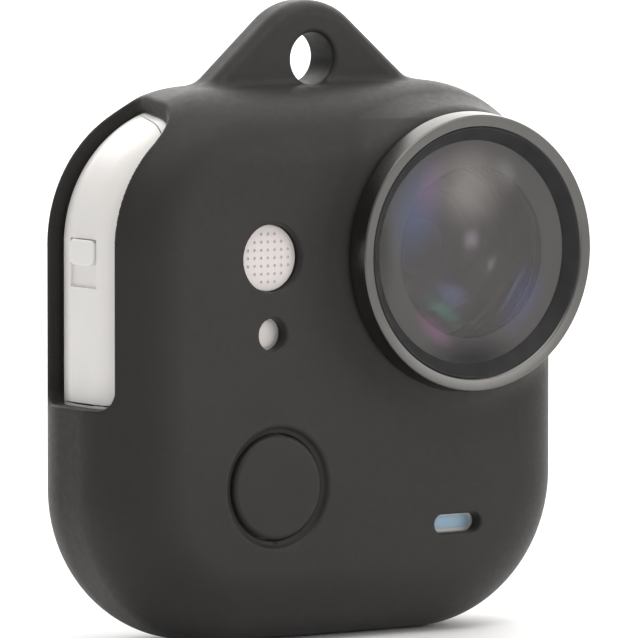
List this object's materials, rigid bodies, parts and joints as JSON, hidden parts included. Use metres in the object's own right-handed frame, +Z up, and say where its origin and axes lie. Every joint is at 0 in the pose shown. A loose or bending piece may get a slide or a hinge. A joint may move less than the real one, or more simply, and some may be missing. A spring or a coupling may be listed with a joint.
{
  "type": "action camera",
  "caption": "Rounded-square wearable action camera in a soft lanyard sleeve, with a twist-off lens guard, a shutter pad and a side door over its ports.",
  "frame": {"origin": "middle of the foot of the whole object's box: level with the sleeve's lowest face, halfway across its width, and halfway between the guard ring's front and the sleeve's back", "axes": "+Z up through the lanyard lug, -Y out of the lens, +X to the right of someone facing the lens"},
  "size_m": [0.05, 0.0205, 0.0575],
  "materials": {
    "silicone": "soft matte moulded silicone",
    "white_shell": "satin white moulding",
    "guard_metal": "gunmetal anodised, finely turned",
    "cover_glass": "coated flat glass",
    "lens_glass": "coated optical glass",
    "black_plastic": "matt black moulding",
    "gasket": "black rubber",
    "grille": "pierced pale moulding",
    "light_pipe": "milky translucent",
    "status_blue": "pale blue translucent",
    "board": "green solder mask",
    "chip": "moulded chip package",
    "steel": "plain steel",
    "magnet": "nickel plated",
    "contact": "gold plated",
    "battery_wrap": "laminated foil pouch",
    "foam": "closed-cell foam",
    "graphite": "rolled spreader plate",
    "sensor": "sensor under cover glass",
    "flex": "polyimide ribbon"
  },
  "bodies": {
    "camera": {"silicone_sleeve": "silicone", "front_shell": "white_shell", "rear_cover": "white_shell", "cover_seal": "gasket", "cover_screws": "steel", "lens_collar": "black_plastic", "lens_barrel": "black_plastic", "lens_retaining_ring": "black_plastic", "front_lens": "lens_glass", "middle_lens": "lens_glass", "rear_lens": "lens_glass", "aperture_stop": "black_plastic", "lens_holder": "black_plastic", "infrared_filter": "lens_glass", "image_sensor": "sensor", "sensor_board": "board", "heat_spreader": "graphite", "sensor_flex": "flex", "flex_connector": "black_plastic", "mount_magnets": "magnet", "contact_block": "black_plastic", "contact_pins": "contact", "speaker_grille": "grille", "speaker_capsule": "steel", "indicator_window": "light_pipe", "indicator_led": "light_pipe", "status_window": "status_blue", "status_led": "light_pipe", "dome_switch": "steel", "control_board": "board", "battery_pad": "foam", "battery_cell": "battery_wrap", "main_board": "board", "processor_chip": "chip", "board_chips": "chip", "usb_port": "steel", "card_socket": "steel", "port_frame": "black_plastic", "door_hinge_pin": "steel"},
    "lens_guard": {"guard_ring": "guard_metal", "guard_glass": "cover_glass", "guard_seal": "gasket"},
    "shutter_button": {"button_pad": "silicone", "button_cap": "white_shell"},
    "door": {"side_door": "white_shell", "door_seal": "gasket"},
    "latch": {"door_latch": "white_shell"},
    "card": {"memory_card": "chip"}
  },
  "joints": [
    {"name": "guard_twist", "type": "hinge", "parent": "camera", "child": "lens_guard", "pos_m": [0.0113, 0, 0.0348], "axis": [0, -1, 0], "range_deg": [0, 60]},
    {"name": "button_press", "type": "slide", "parent": "camera", "child": "shutter_button", "axis": [0, 1, 0], "range_m": [0, 0.0004], "stiffness_N_per_m": 1500},
    {"name": "door_swing", "type": "hinge", "parent": "camera", "child": "door", "pos_m": [-0.0223, 0.00175, 0.0234], "axis": [0, -1, 0], "range_deg": [0, 70]},
    {"name": "latch_slide", "type": "slide", "parent": "door", "child": "latch", "axis": [0, 0, -1], "range_m": [0, 0.0018]},
    {"name": "card_push", "type": "slide", "parent": "camera", "child": "card", "axis": [1, 0, 0], "range_m": [0, 0.0006], "stiffness_N_per_m": 500}
  ]
}
